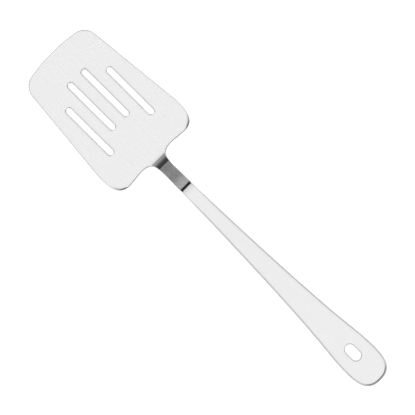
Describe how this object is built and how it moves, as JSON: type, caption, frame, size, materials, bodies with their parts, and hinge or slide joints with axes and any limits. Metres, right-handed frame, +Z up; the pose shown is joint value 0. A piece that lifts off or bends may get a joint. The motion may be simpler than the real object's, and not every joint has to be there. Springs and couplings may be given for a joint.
{
  "type": "slotted spatula",
  "caption": "Long-handled steel kitchen turner: flat fanned blade with drain slots on a cranked neck, hollow two-shell handle that widens to a round end with an oval hanging hole.",
  "frame": {"origin": "on the table under the middle of the tool's length, with the tool lying on its heel and the end of its handle", "axes": "+X from the blade to the end of the handle, +Z up"},
  "size_m": [0.341, 0.0802, 0.0263],
  "materials": {
    "blade_steel": "satin stainless steel, finely brushed along the tool",
    "handle_steel": "buffed stainless steel with soft edges",
    "seal_rubber": "matt black"
  },
  "bodies": {
    "root": {"blade": "blade_steel", "mouth_seal": "seal_rubber", "handle_top_shell": "handle_steel", "handle_bottom_shell": "handle_steel"}
  },
  "joints": []
}
